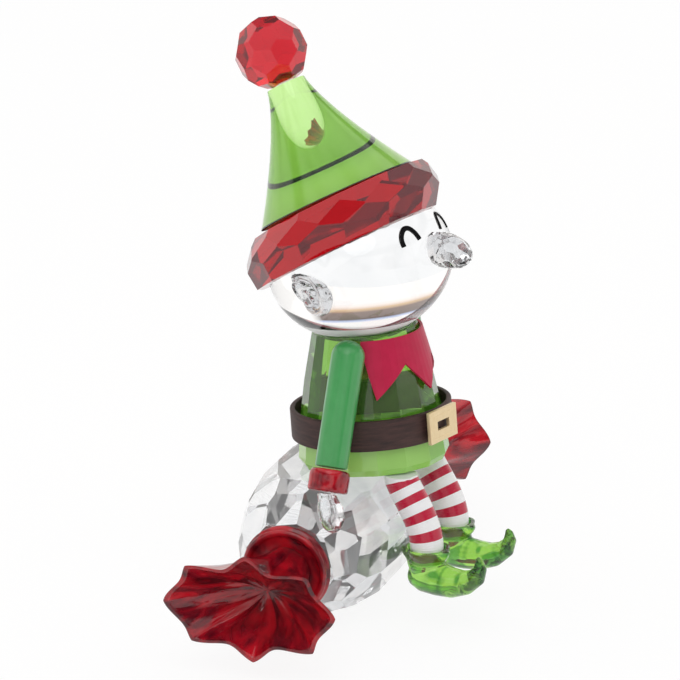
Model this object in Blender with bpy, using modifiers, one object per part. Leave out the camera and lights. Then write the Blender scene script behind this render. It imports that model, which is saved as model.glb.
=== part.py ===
"""Christmas elf figurine: a cut-crystal elf sitting on a crystal wrapped sweet.

Sizes are in millimetres and are turned into metres when a mesh is made. +Z is up, the elf faces -Y,
and the origin is on the sweet's resting facet, straight below its centre.
"""
import math
import random

import bmesh
import bpy
from mathutils import Euler, Matrix, Vector

MM = 0.001
GLUE_GAP = 0.3

# The sweet: a barrel of flat facets that follow an ellipsoid of this radius and half length.
CANDY_RADIUS = 14.25
CANDY_CURVE_HALF = 31.0
CANDY_END = 26.2
CANDY_YAW = 17.4
REST_DEPTH = 1.3
CANDY_Z = CANDY_RADIUS - REST_DEPTH
FACET_INSET = 0.985
CANDY_FACET_ROWS = ((-0.74, 9), (-0.5, 11), (-0.24, 12), (0.02, 12), (0.26, 12), (0.52, 11), (0.76, 9))

# The knot ring at each end of the sweet, and the wrapper's fan beyond it.
KNOT_RADIUS = 7.6
KNOT_LENGTH = 2.8
KNOT_DISH = 1.3
NECK_RADIUS = 4.2
FAN_LENGTH = 19.3
FAN_HALF_WIDTH = 14.7
FAN_HALF_HEIGHT = 10.1
FAN_WALL = 1.3
FAN_BOWL_DEPTH = 9.5
FAN_CANT = 11.8
FAN_LOBES = 8

# The tunic stands on its own axis, which leans back a little from the candy's centre height.
BODY_Y = -9.1
BODY_LEAN = 5.0
HEM_LEVEL = 12.5
HEM_RADIUS = 12.75
WAIST_LEVEL = 21.0
WAIST_RADIUS = 11.8
CHEST_LEVEL = 27.0
CHEST_RADIUS = 10.75
TUNIC_TOP = 35.8
TUNIC_TOP_RADIUS = 8.75
TUNIC_SIDES = 16

BELT_LEVEL = 17.2
BELT_HEIGHT = 5.2
BELT_THICKNESS = 0.9
BELT_STANDOFF = 0.4
BUCKLE_WIDTH = 8.0
BUCKLE_HEIGHT = 5.5
BUCKLE_PLATE = 0.7
BUCKLE_SLOT_WIDTH = 3.5
BUCKLE_SLOT_HEIGHT = 1.5

COLLAR_THICKNESS = 0.4
COLLAR_TIP_LEVEL = 25.4
COLLAR_NOTCH_LEVEL = 30.6
COLLAR_TURN = 5.5
COLLAR_TIP_TURN = 55.0
COLLAR_NOTCH_TURN = 24.0
COLLAR_EDGE_TURN = 66.0
COLLAR_TIP_LIFT = 0.1

# The head is a smooth ellipsoid, tipped back, its centre this far above the tunic's top. The brim, nose
# and ears are placed from the head's centre, and the hat sits at a steeper slant.
HEAD_RISE = 11.2
HEAD_RADIUS = 15.85
HEAD_HALF_HEIGHT = 13.2
HEAD_TILT = 17.4

BRIM_BACK = 2.8
BRIM_RISE = 1.65
BRIM_SLOPE = 31.0
BRIM_FOOT_RADIUS = 14.7
BRIM_RIDGE_RADIUS = 16.0
BRIM_RIDGE_HEIGHT = 4.5
BRIM_SHOULDER_RADIUS = 15.3
BRIM_SHOULDER_HEIGHT = 6.9
BRIM_TOP_HEIGHT = 9.3
BRIM_BACK_SHIFT = 1.7
BRIM_SIDES = 13

HAT_RADIUS = 14.0
HAT_HEIGHT = 20.9
HAT_TIP_RADIUS = 3.4
HAT_TILT = 30.2
POM_RADIUS = 6.0

NOSE_LENGTH = 9.9
NOSE_RADIUS = 2.85
NOSE_OUT = 1.35
NOSE_RISE = 4.5
EAR_INSET = 0.45
EAR_FORWARD = 0.6
EAR_DROP = 1.95
EAR_LENGTH = 10.3
EAR_WIDTH = 7.4
EAR_DEPTH = 5.4

# The arms hang outwards over the belt to the sides of the sweet. Each end has a level on the body's
# axis, a clearance from the tunic or the belt, and a turn from straight ahead. The left arm mirrors the
# right one across a plane through the axis that is turned by ARM_MIRROR_TURN.
SHOULDER_DROP = 1.8
SHOULDER_CLEARANCE = 0.73
SHOULDER_TURN = 69.0
WRIST_LEVEL = 16.6
WRIST_CLEARANCE = 2.87
WRIST_TURN = 76.7
ARM_MIRROR_TURN = 12.0
ARM_RADIUS = 2.85
CUFF_RADIUS = 3.4
CUFF_HEIGHT = 3.8
HAND_OUT = -1.9
HAND_DROP = -5.6
RIGHT_HAND_STANDOFF = 2.8918
LEFT_HAND_STANDOFF = 3.6691
HAND_HALF_WIDTH = 2.5
HAND_HALF_THICKNESS = 1.7

# The legs hang in front of the sweet; the right one reaches further forward. The ankles are placed from
# the tunic's axis and from the height of the sweet's centre.
LEG_RADIUS = 2.85
LEG_X = 6.2
RIGHT_ANKLE_REACH = 13.8
LEFT_ANKLE_REACH = 10.8
RIGHT_ANKLE_RISE = 0.85
LEFT_ANKLE_RISE = 1.25
LEG_SINK = 2.2
LEG_BEND = 5.3

SHOE_ANKLE_HEIGHT = 7.8
SHOE_HALF_WIDTH = 3.0
CUFF_FLARE = 1.15
TOE_OUT = 4.0

PART = bpy.data.collections.new("elf_figurine")
CUTTERS = bpy.data.collections.new("cutters")

random.seed(11)


def start_clean():
    """Empties the scene and links the two collections."""
    for old in list(bpy.data.objects):
        bpy.data.objects.remove(old, do_unlink=True)
    bpy.context.scene.collection.children.link(PART)
    bpy.context.scene.collection.children.link(CUTTERS)


def finish(name, colour, roughness, metallic=0.0, clear=0.0):
    """A Principled material with the colour, gloss and clearness seen in the photograph."""
    made = bpy.data.materials.new(name)
    made.use_nodes = True
    shader = made.node_tree.nodes["Principled BSDF"]
    shader.inputs["Base Color"].default_value = (*colour, 1.0)
    shader.inputs["Roughness"].default_value = roughness
    shader.inputs["Metallic"].default_value = metallic
    shader.inputs["Transmission Weight"].default_value = clear
    made.diffuse_color = (*colour, 1.0)
    return made


def place(name, data, look, matrix=None, home=None):
    """Puts a mesh or curve in the part's collection under its own name and material."""
    made = bpy.data.objects.new(name, data)
    (home or PART).objects.link(made)
    if look:
        data.materials.append(look)
    if matrix:
        made.matrix_world = matrix
    return made


def mesh_from(bm, name, sharp=math.radians(35)):
    """Closes a bmesh that was modelled in millimetres and returns it as a mesh in metres."""
    bmesh.ops.recalc_face_normals(bm, faces=bm.faces)
    mesh = bpy.data.meshes.new(name)
    bm.to_mesh(mesh)
    bm.free()
    mesh.transform(Matrix.Scale(MM, 4))
    mesh.shade_smooth()
    mesh.set_sharp_from_angle(angle=sharp)
    return mesh


def at(x, y, z, turn=None):
    """A placement in metres from a position in millimetres and a rotation."""
    spot = Matrix.Translation(Vector((x, y, z)) * MM)
    return spot @ turn.to_4x4() if turn else spot


def tilt(degrees):
    """Leans a local Z axis back, towards +Y."""
    return Matrix.Rotation(-math.radians(degrees), 3, "X")


def ring(radius, level, count, phase=0.0):
    """Points on a circle about the local Z axis."""
    steps = (phase + math.tau * index / count for index in range(count))
    return [Vector((radius * math.cos(a), radius * math.sin(a), level)) for a in steps]


def grind(bm, cuts):
    """Grinds a block flat at each plane, given as a normal and a distance from the origin."""
    for normal, distance in cuts:
        outward = Vector(normal).normalized()
        everything = bm.verts[:] + bm.edges[:] + bm.faces[:]
        cut = bmesh.ops.bisect_plane(
            bm,
            geom=everything,
            dist=0.0005,
            plane_co=outward * distance,
            plane_no=outward,
            clear_outer=True,
        )
        rim = [piece for piece in cut["geom_cut"] if isinstance(piece, bmesh.types.BMEdge)]
        if len(rim) > 2:
            bmesh.ops.holes_fill(bm, edges=rim, sides=0)
    bmesh.ops.remove_doubles(bm, verts=bm.verts, dist=0.01)


def slanted_row(low_radius, low, high_radius, high, count, phase):
    """One row of facets that touch both circles, on the local Z axis."""
    slope = (low_radius - high_radius) / (high - low)
    cuts = []
    for index in range(count):
        angle = phase + math.tau * index / count
        normal = Vector((math.cos(angle), math.sin(angle), slope))
        touch = Vector((low_radius * math.cos(angle), low_radius * math.sin(angle), low))
        cuts.append((normal, touch.dot(normal.normalized())))
    return cuts


def turned(name, profile, steps, look, matrix, home=None, hollow=False):
    """A solid of revolution: radius and height pairs from the top down, spun by a Screw modifier."""
    mesh = bpy.data.meshes.new(name)
    points = [Vector((radius, 0.0, height)) * MM for radius, height in profile]
    edges = [(index, index + 1) for index in range(len(points) - 1)]
    if hollow:
        edges.append((len(points) - 1, 0))
    mesh.from_pydata(points, edges, [])
    made = place(name, mesh, look, matrix, home)
    spin = made.modifiers.new("spin", "SCREW")
    spin.steps = steps
    spin.render_steps = steps
    spin.use_merge_vertices = True
    spin.merge_threshold = 0.000002
    spin.use_smooth_shade = True
    return made


def loft(rings):
    """Skins a list of rings with equal counts and closes both ends."""
    bm = bmesh.new()
    rows = [[bm.verts.new(point) for point in points] for points in rings]
    count = len(rows[0])
    for lower, upper in zip(rows, rows[1:]):
        for index in range(count):
            after = (index + 1) % count
            bm.faces.new((lower[index], lower[after], upper[after], upper[index]))
    bm.faces.new(rows[0][::-1])
    bm.faces.new(rows[-1])
    return bm


def cut_with(target, cutter, operation="DIFFERENCE"):
    """Gives a part an exact Boolean with a cutter object."""
    cutter.hide_render = True
    cutter.display_type = "WIRE"
    boolean = target.modifiers.new(operation.lower(), "BOOLEAN")
    boolean.operation = operation
    boolean.object = cutter
    boolean.solver = "EXACT"


def candy_frame():
    """The sweet's own frame, with local X along it."""
    return at(0, 0, CANDY_Z, Matrix.Rotation(math.radians(CANDY_YAW), 3, "Z"))


def body_frame():
    """The elf's body frame: local Z is the tunic's axis."""
    return at(0, BODY_Y, CANDY_Z, tilt(BODY_LEAN))


def on_body_axis(level):
    """The point of the tunic's axis at a level, in the world."""
    return Vector((0, BODY_Y, CANDY_Z)) + tilt(BODY_LEAN) @ Vector((0, 0, level))


def head_centre():
    """The head's centre, above the tunic's top."""
    return on_body_axis(TUNIC_TOP + HEAD_RISE)


def brim_centre():
    """The centre of the brim's foot."""
    return head_centre() + Vector((0, BRIM_BACK, BRIM_RISE))


def head_shape(grow):
    """The head's ellipsoid, grown by a clearance, at its place in the world."""
    bm = bmesh.new()
    bmesh.ops.create_uvsphere(bm, u_segments=40, v_segments=22, radius=1.0)
    wide = HEAD_RADIUS + grow
    bmesh.ops.scale(bm, vec=(wide, wide, HEAD_HALF_HEIGHT + grow), verts=bm.verts)
    bmesh.ops.rotate(bm, matrix=tilt(HEAD_TILT), verts=bm.verts)
    bmesh.ops.translate(bm, vec=head_centre(), verts=bm.verts)
    return bm


def brim_plane():
    """Normal and distance of the slanted plane that the brim's foot lies in."""
    normal = tilt(BRIM_SLOPE) @ Vector((0, 0, 1))
    return normal, brim_centre().dot(normal)


def make_candy(crystal):
    """The crystal sweet, ground from a bar into a barrel of large uneven facets."""
    bm = bmesh.new()
    bmesh.ops.create_cube(bm, size=2 * CANDY_CURVE_HALF)
    cuts = [((1, 0, 0), CANDY_END), ((-1, 0, 0), CANDY_END)]
    for row, (share, count) in enumerate(CANDY_FACET_ROWS):
        for index in range(count):
            along = CANDY_CURVE_HALF * (share + random.uniform(-0.05, 0.05))
            out = CANDY_RADIUS * math.sqrt(1 - (along / CANDY_CURVE_HALF) ** 2)
            step = index + 0.5 * (row % 2) + random.uniform(-0.22, 0.22)
            angle = math.tau * step / count
            slope = Vector((along / CANDY_CURVE_HALF**2, out / CANDY_RADIUS**2))
            normal = Vector((slope.x, slope.y * math.cos(angle), slope.y * math.sin(angle)))
            cuts.append((normal, FACET_INSET * random.uniform(0.985, 1.0) / slope.length))
    grind(bm, cuts)
    bmesh.ops.rotate(bm, matrix=Matrix.Rotation(math.radians(CANDY_YAW), 3, "Z"), verts=bm.verts)
    seat_normal = tilt(BODY_LEAN) @ Vector((0, 0, 1))
    seat = Vector((0, BODY_Y, 0)).dot(seat_normal) + HEM_LEVEL - GLUE_GAP
    grind(bm, [(seat_normal, seat), ((0, 0, -1), CANDY_Z)])
    place("candy_body", mesh_from(bm, "candy_body", math.radians(2)), crystal, at(0, 0, CANDY_Z))


def knot_profile():
    """Half section of the knot ring from its outer end back to the sweet."""
    outer = KNOT_LENGTH
    dish = outer - KNOT_DISH
    return [
        (0.0, dish),
        (NECK_RADIUS + 0.4, dish),
        (KNOT_RADIUS - 1.7, dish + 0.45),
        (KNOT_RADIUS - 0.9, outer),
        (KNOT_RADIUS - 0.35, outer - 0.2),
        (KNOT_RADIUS - 0.25, outer - 0.75),
        (KNOT_RADIUS - 0.6, outer - 1.1),
        (KNOT_RADIUS, outer - 1.45),
        (KNOT_RADIUS, outer - 2.0),
        (KNOT_RADIUS - 0.5, outer - 2.4),
        (KNOT_RADIUS - 1.1, 0.0),
        (0.0, 0.0),
    ]


def fan_ring(along, half_width, half_height, scallop, cant):
    """One closed section of the fan, about local Z, with its lobes' tips and valleys."""
    count = FAN_LOBES * 6
    points = []
    for index in range(count):
        angle = math.tau * index / count
        valley = 0.5 - 0.5 * math.cos(FAN_LOBES * angle)
        depth = scallop * (0.076 + 0.19 * math.sin(angle) ** 2)
        reach = 1 - depth * valley
        side = -half_width * reach * math.cos(angle)
        rise = half_height * reach * math.sin(angle)
        points.append(Vector((rise * math.cos(cant), side, along + rise * math.sin(cant))))
    return points


def fan_mesh(name):
    """The flared, pleated end of the wrapper: outside from neck to rim, inside back to the bowl."""
    cant = math.radians(FAN_CANT)
    rings = []
    for step in range(8):
        share = step / 7
        flare = share**1.5
        width = NECK_RADIUS + (FAN_HALF_WIDTH - NECK_RADIUS) * flare
        height = NECK_RADIUS + (FAN_HALF_HEIGHT - NECK_RADIUS) * flare
        rings.append(fan_ring(FAN_LENGTH * share, width, height, share, cant * share))
    lip = FAN_WALL * 0.55
    rings.append(fan_ring(FAN_LENGTH + lip * 0.4, FAN_HALF_WIDTH - lip, FAN_HALF_HEIGHT - lip, 1.0, cant))
    for step in range(1, 6):
        share = 1 - step / 5.6
        flare = share**0.85
        width = (FAN_HALF_WIDTH - FAN_WALL) * flare
        height = (FAN_HALF_HEIGHT - FAN_WALL) * flare
        depth = FAN_BOWL_DEPTH * (1 - share**1.6)
        rings.append(fan_ring(FAN_LENGTH - depth, width, height, share, cant * share))
    return mesh_from(loft(rings), name, math.radians(30))


def make_wrapper(side, end, ruby):
    """The knot ring and fan on one end of the sweet."""
    outward = Matrix.Rotation(math.radians(90 * end), 3, "Y")
    knot_start = CANDY_END + GLUE_GAP
    frame = candy_frame()
    spot = Matrix.Translation(Vector((end * knot_start, 0, 0)) * MM)
    turned(f"wrapper_knot_{side}", knot_profile(), 32, ruby, frame @ spot @ outward.to_4x4())
    fan_start = knot_start + KNOT_LENGTH - KNOT_DISH + GLUE_GAP
    spot = Matrix.Translation(Vector((end * fan_start, 0, 0)) * MM)
    upright = outward @ Matrix.Rotation(math.radians(180 if end > 0 else 0), 3, "Z")
    fan = fan_mesh(f"wrapper_fan_{side}")
    place(f"wrapper_fan_{side}", fan, ruby, frame @ spot @ upright.to_4x4())


def tunic_radius(level):
    """The tunic's facet radius at a level on its axis."""
    tiers = (
        (HEM_LEVEL, HEM_RADIUS),
        (WAIST_LEVEL, WAIST_RADIUS),
        (CHEST_LEVEL, CHEST_RADIUS),
        (TUNIC_TOP, TUNIC_TOP_RADIUS),
    )
    for (low, low_radius), (high, high_radius) in zip(tiers, tiers[1:]):
        if level <= high:
            share = (level - low) / (high - low)
            return low_radius + (high_radius - low_radius) * share
    return TUNIC_TOP_RADIUS


def make_tunic(green):
    """The faceted green body, its top ground hollow to take the head."""
    bm = bmesh.new()
    bmesh.ops.create_cone(
        bm,
        cap_ends=True,
        segments=TUNIC_SIDES * 2,
        radius1=HEM_RADIUS * 1.2,
        radius2=HEM_RADIUS * 1.2,
        depth=TUNIC_TOP - HEM_LEVEL,
    )
    bmesh.ops.translate(bm, vec=(0, 0, (TUNIC_TOP + HEM_LEVEL) / 2), verts=bm.verts)
    turn = math.radians(3.5)
    levels = (HEM_LEVEL + 1.1, WAIST_LEVEL, CHEST_LEVEL, TUNIC_TOP)
    cuts = slanted_row(HEM_RADIUS - 0.7, HEM_LEVEL, tunic_radius(levels[0]), levels[0], TUNIC_SIDES, turn)
    for low, high in zip(levels, levels[1:]):
        cuts += slanted_row(tunic_radius(low), low, tunic_radius(high), high, TUNIC_SIDES, turn)
    grind(bm, cuts)
    tunic = place("tunic", mesh_from(bm, "tunic", math.radians(2)), green, body_frame())
    dish = place("head_seat", mesh_from(head_shape(GLUE_GAP), "head_seat"), None, None, CUTTERS)
    cut_with(tunic, dish)


def belt_inner_radius():
    """The belt clears the tunic's corners where it hangs lowest."""
    return tunic_radius(BELT_LEVEL) / math.cos(math.pi / TUNIC_SIDES) + BELT_STANDOFF


def make_belt(strap, gold):
    """The stiff belt hoop round the tunic and its rectangular buckle plate."""
    inner = belt_inner_radius()
    outer = inner + BELT_THICKNESS
    high = BELT_LEVEL + BELT_HEIGHT
    hoop = [
        (inner, high),
        (outer - 0.15, high),
        (outer, high - 0.15),
        (outer, BELT_LEVEL + 0.15),
        (outer - 0.15, BELT_LEVEL),
        (inner, BELT_LEVEL),
    ]
    turned("belt", hoop, 48, strap, body_frame(), hollow=True)
    curve = bpy.data.curves.new("buckle", "CURVE")
    curve.dimensions = "2D"
    curve.fill_mode = "BOTH"
    curve.extrude = BUCKLE_PLATE * MM / 2
    for width, height in ((BUCKLE_WIDTH, BUCKLE_HEIGHT), (BUCKLE_SLOT_WIDTH, BUCKLE_SLOT_HEIGHT)):
        corners = ((-1, -1), (1, -1), (1, 1), (-1, 1))
        outline = curve.splines.new("POLY")
        outline.points.add(3)
        outline.use_cyclic_u = True
        for point, (x, y) in zip(outline.points, corners):
            point.co = (x * width * MM / 2, y * height * MM / 2, 0, 1)
    middle = BELT_LEVEL + BELT_HEIGHT / 2
    face = -(outer + GLUE_GAP + BUCKLE_PLATE / 2)
    stand = at(0, face, middle, Matrix.Rotation(math.radians(90), 3, "X"))
    place("buckle", curve, gold, body_frame() @ stand)


def make_collar(felt):
    """The folded collar: a thin shell over the tunic's front with three points."""
    flat = TUNIC_SIDES
    rise = COLLAR_NOTCH_LEVEL - COLLAR_TIP_LEVEL
    edge_level = TUNIC_TOP - 1.6
    columns = (
        (-COLLAR_EDGE_TURN, edge_level, 0.0),
        (-COLLAR_TIP_TURN, COLLAR_TIP_LEVEL, COLLAR_TIP_LIFT),
        (-COLLAR_NOTCH_TURN, COLLAR_TIP_LEVEL + rise, 0.0),
        (0.0, COLLAR_TIP_LEVEL, COLLAR_TIP_LIFT),
        (COLLAR_NOTCH_TURN, COLLAR_TIP_LEVEL + rise, 0.0),
        (COLLAR_TIP_TURN, COLLAR_TIP_LEVEL, COLLAR_TIP_LIFT),
        (COLLAR_EDGE_TURN, edge_level, 0.0),
    )
    bm = bmesh.new()
    top = TUNIC_TOP - 0.6
    rows = []
    for (turn, low, lift), (after, next_low, next_lift) in zip(columns, columns[1:]):
        for part in range(4):
            share = part / 4
            rows.append((turn + (after - turn) * share, low + (next_low - low) * share,
                         lift + (next_lift - lift) * share))
    rows.append(columns[-1])
    grid = []
    for turn, low, lift in rows:
        angle = math.radians(COLLAR_TURN + turn - 90)
        column = []
        for part in range(4):
            level = top + (low - top) * part / 3
            corner = tunic_radius(level) / math.cos(math.pi / flat)
            out = corner + GLUE_GAP + lift * part / 3
            column.append(bm.verts.new((out * math.cos(angle), out * math.sin(angle), level)))
        grid.append(column)
    for left, right in zip(grid, grid[1:]):
        for part in range(3):
            bm.faces.new((left[part], left[part + 1], right[part + 1], right[part]))
    mesh = mesh_from(bm, "collar", math.radians(12))
    collar = place("collar", mesh, felt, body_frame())
    shell = collar.modifiers.new("cloth", "SOLIDIFY")
    shell.thickness = COLLAR_THICKNESS * MM
    shell.offset = 1.0


def make_head(crystal):
    """The clear head, ground flat on top where the brim sits."""
    bm = head_shape(0.0)
    normal, distance = brim_plane()
    grind(bm, [(normal, distance - GLUE_GAP)])
    place("head", mesh_from(bm, "head", math.radians(30)), crystal)


def make_brim(ruby):
    """The brim: a faceted drum, sheared so that its top and foot follow the hat's slant."""
    bm = bmesh.new()
    block = BRIM_RIDGE_RADIUS * 1.15
    bmesh.ops.create_cone(
        bm,
        cap_ends=True,
        segments=BRIM_SIDES * 2,
        radius1=block,
        radius2=block,
        depth=BRIM_TOP_HEIGHT,
    )
    bmesh.ops.translate(bm, vec=(0, 0, BRIM_TOP_HEIGHT / 2), verts=bm.verts)
    half = math.pi / BRIM_SIDES
    rows = (
        (BRIM_FOOT_RADIUS, 0.0, BRIM_RIDGE_RADIUS, BRIM_RIDGE_HEIGHT, 0.0),
        (BRIM_RIDGE_RADIUS, BRIM_RIDGE_HEIGHT, BRIM_SHOULDER_RADIUS, BRIM_SHOULDER_HEIGHT, half),
        (BRIM_SHOULDER_RADIUS, BRIM_SHOULDER_HEIGHT, HAT_RADIUS - 0.3, BRIM_TOP_HEIGHT, 0.0),
    )
    cuts = []
    for low_radius, low, high_radius, high, phase in rows:
        cuts += slanted_row(low_radius, low, high_radius, high, BRIM_SIDES, phase + 0.12)
    grind(bm, cuts)
    slope = math.tan(math.radians(BRIM_SLOPE))
    shear = Matrix.Identity(4)
    shear[2][1] = -slope
    lean = Matrix.Identity(4)
    lean[1][2] = BRIM_BACK_SHIFT / BRIM_TOP_HEIGHT
    bm.transform(shear @ lean)
    place("hat_brim", mesh_from(bm, "hat_brim", math.radians(2)), ruby, at(*brim_centre()))


def hat_foot():
    """Centre of the hat's foot, one glue gap above the brim's slanted top."""
    up = tilt(HAT_TILT) @ Vector((0, 0, 1))
    slope = math.tan(math.radians(BRIM_SLOPE))
    top = brim_centre() + Vector((0, BRIM_BACK_SHIFT, BRIM_TOP_HEIGHT - slope * BRIM_BACK_SHIFT))
    return top + up * (GLUE_GAP + HAT_RADIUS * math.tan(math.radians(abs(BRIM_SLOPE - HAT_TILT)))), up


def make_hat(green, ruby):
    """The hollow-sided green cone and the faceted ball on its tip."""
    foot, up = hat_foot()
    frame = at(*foot, tilt(HAT_TILT))
    profile = [(0.0, HAT_HEIGHT)]
    for step in range(13):
        share = 1 - step / 12
        bulge = HAT_TIP_RADIUS + (HAT_RADIUS - HAT_TIP_RADIUS) * (1 - share) ** 1.3
        profile.append((bulge, HAT_HEIGHT * share))
    profile.append((0.0, 0.0))
    turned("hat_cone", profile, 40, green, frame)
    bm = bmesh.new()
    bmesh.ops.create_icosphere(bm, subdivisions=1, radius=1.0)
    directions = [vertex.co.copy() for vertex in bm.verts]
    directions += [face.calc_center_median() for face in bm.faces]
    bm.free()
    spin = Euler((0.35, 0.2, 0.5)).to_matrix()
    bm = bmesh.new()
    bmesh.ops.create_cube(bm, size=4 * POM_RADIUS)
    seat = [(Vector((0, 0, -1)), POM_RADIUS * 0.93)]
    grind(bm, [(spin @ way, POM_RADIUS * 0.965) for way in directions] + seat)
    centre = foot + up * (HAT_HEIGHT + GLUE_GAP + POM_RADIUS * 0.93)
    place("pom_ball", mesh_from(bm, "pom_ball", math.radians(2)), ruby, at(*centre, tilt(HAT_TILT)))


def make_nose(crystal):
    """The long faceted nose, its root ground to the curve of the face."""
    bm = bmesh.new()
    bmesh.ops.create_cube(bm, size=2 * NOSE_LENGTH)
    half = NOSE_LENGTH / 2
    cuts = []
    for row in range(7):
        lift = math.radians(-78 + 26 * row)
        count = (4, 8, 10, 10, 10, 8, 4)[row]
        for index in range(count):
            angle = math.tau * (index + 0.5 * (row % 2)) / count
            touch = Vector((math.cos(angle) * math.cos(lift), math.sin(lift), math.sin(angle) * math.cos(lift)))
            slope = Vector((touch.x / NOSE_RADIUS, touch.y / half, touch.z / NOSE_RADIUS))
            cuts.append((slope, 0.98 / slope.length))
    grind(bm, cuts)
    root = head_centre() + Vector((0, -HEAD_RADIUS - NOSE_OUT, NOSE_RISE))
    nose = place("nose", mesh_from(bm, "nose", math.radians(2)), crystal, at(*root, tilt(-6)))
    face = place("face_seat", mesh_from(head_shape(GLUE_GAP), "face_seat"), None, None, CUTTERS)
    cut_with(nose, face)


def make_ear(side, end, crystal):
    """A pointed elf's ear with a scooped front, ground to the side of the head."""
    bm = bmesh.new()
    bmesh.ops.create_uvsphere(bm, u_segments=20, v_segments=12, radius=1.0)
    for vertex in bm.verts:
        taper = 0.5 + 0.5 * vertex.co.y
        vertex.co.z *= 1 - 0.45 * taper
        vertex.co.z += 0.22 * taper
    size = (EAR_DEPTH / 2, EAR_LENGTH / 2, EAR_WIDTH / 2)
    bmesh.ops.scale(bm, vec=size, verts=bm.verts)
    hang = Matrix.Rotation(math.radians(18 * end), 3, "Z") @ Matrix.Rotation(math.radians(20), 3, "X")
    root = head_centre() + Vector((end * (HEAD_RADIUS - EAR_INSET), -EAR_FORWARD, -EAR_DROP))
    spot = at(*root, hang)
    ear = place(f"ear_{side}", mesh_from(bm, f"ear_{side}"), crystal, spot)
    bm = bmesh.new()
    bmesh.ops.create_uvsphere(bm, u_segments=14, v_segments=8, radius=1.0)
    scoop_size = (EAR_DEPTH * 0.4, EAR_LENGTH * 0.36, EAR_WIDTH * 0.3)
    bmesh.ops.scale(bm, vec=scoop_size, verts=bm.verts)
    bmesh.ops.translate(bm, vec=(end * EAR_DEPTH * 0.66, -EAR_LENGTH * 0.03, 0.2), verts=bm.verts)
    scoop = place(f"ear_scoop_{side}", mesh_from(bm, f"ear_scoop_{side}"), None, spot, CUTTERS)
    cut_with(ear, scoop)
    temple = place(f"temple_{side}", mesh_from(head_shape(GLUE_GAP), f"temple_{side}"), None, None, CUTTERS)
    cut_with(ear, temple)


def arm_side(way, end):
    """A direction on the right arm, or its mirror image on the left one."""
    if end < 0:
        return way.copy()
    swing = Matrix.Rotation(math.radians(2 * ARM_MIRROR_TURN), 3, "Z")
    return swing @ Vector((-way.x, way.y, way.z))


def round_body(level, out, turn, end):
    """A point out from the body's axis, turned to the elf's right or, mirrored, to its left."""
    way = Vector((-math.sin(math.radians(turn)), -math.cos(math.radians(turn)), 0))
    return on_body_axis(level) + arm_side(way, end) * out


def along_arm(end):
    """Shoulder point, wrist point and the turn that lays local -Z along the arm."""
    shoulder_level = TUNIC_TOP - SHOULDER_DROP
    shoulder_out = tunic_radius(shoulder_level) + SHOULDER_CLEARANCE + ARM_RADIUS
    wrist_out = belt_inner_radius() + BELT_THICKNESS + WRIST_CLEARANCE + ARM_RADIUS
    top = round_body(shoulder_level, shoulder_out, SHOULDER_TURN, end)
    low = round_body(WRIST_LEVEL, wrist_out, WRIST_TURN, end)
    aim = (top - low).to_track_quat("Z", "Y").to_matrix()
    return top, low, aim


def off_sweet(point):
    """How far a point stands off the sweet's rounded side, measured out from the sweet's axis."""
    along = Matrix.Rotation(-math.radians(CANDY_YAW), 3, "Z")
    local = along @ (point - Vector((0, 0, CANDY_Z)))
    side = CANDY_RADIUS * math.sqrt(1 - (local.x / CANDY_CURVE_HALF) ** 2)
    return math.hypot(local.y, local.z) - side


def hand_reach(hand_top, end, standoff):
    """The way from wrist to fingertips: the hand swings forward until it stands off the sweet."""
    near = 0.0
    far = -ARM_RADIUS * 4
    for _ in range(40):
        forward = (near + far) / 2
        reach = arm_side(Vector((HAND_OUT, forward, HAND_DROP)), end)
        if off_sweet(hand_top + reach) < standoff:
            near = forward
        else:
            far = forward
    return reach


def make_arm(side, end, standoff, satin, ruby, crystal):
    """An arm, its ruby cuff and its crystal hand, in line."""
    top, low, aim = along_arm(end)
    length = (top - low).length
    profile = [(0.0, length + ARM_RADIUS * 0.95)]
    for step in range(1, 6):
        angle = math.radians(90 - 18 * step)
        profile.append((ARM_RADIUS * math.cos(angle), length + ARM_RADIUS * 0.95 * math.sin(angle)))
    profile.append((ARM_RADIUS * 0.97, 0.0))
    profile.append((0.0, 0.0))
    turned(f"arm_{side}", profile, 20, satin, at(*low, aim))

    down = aim @ Vector((0, 0, -1))
    cuff_top = low + down * GLUE_GAP
    cuff = [
        (0.0, 0.0),
        (CUFF_RADIUS - 0.55, 0.0),
        (CUFF_RADIUS - 0.1, -0.5),
        (CUFF_RADIUS, -1.1),
        (CUFF_RADIUS, -CUFF_HEIGHT + 0.35),
        (CUFF_RADIUS - 0.25, -CUFF_HEIGHT),
        (0.0, -CUFF_HEIGHT),
    ]
    turned(f"cuff_{side}", cuff, 24, ruby, at(*cuff_top, aim))

    hand_top = cuff_top + down * (CUFF_HEIGHT + GLUE_GAP)
    reach = hand_reach(hand_top, end, standoff)
    outward = arm_side(Vector((-1, 0, 0)), end)
    rings = []
    shape = ((0.0, 0.76), (0.16, 0.8), (0.36, 0.98), (0.58, 1.0), (0.8, 0.84), (0.93, 0.56), (1.0, 0.24))
    for share, swell in shape:
        up = (-down).lerp(-reach.normalized(), min(1.0, share * 2))
        thin = (outward - up * outward.dot(up)).normalized()
        wide = up.normalized().cross(thin)
        rings.append([
            reach * share + (thin * p.x * HAND_HALF_THICKNESS + wide * p.y * HAND_HALF_WIDTH) * swell
            for p in ring(1.0, 0.0, 16)
        ])
    hand = mesh_from(loft(rings[::-1]), f"hand_{side}")
    place(f"hand_{side}", hand, crystal, at(*hand_top))


def hem_point(x, y):
    """Height of the tunic's flat underside above a point, less the glue gap."""
    normal = tilt(BODY_LEAN) @ Vector((0, 0, 1))
    base = Vector((0, BODY_Y, CANDY_Z)) + normal * (HEM_LEVEL - GLUE_GAP)
    return base.z - (y - base.y) * normal.y / normal.z


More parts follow.
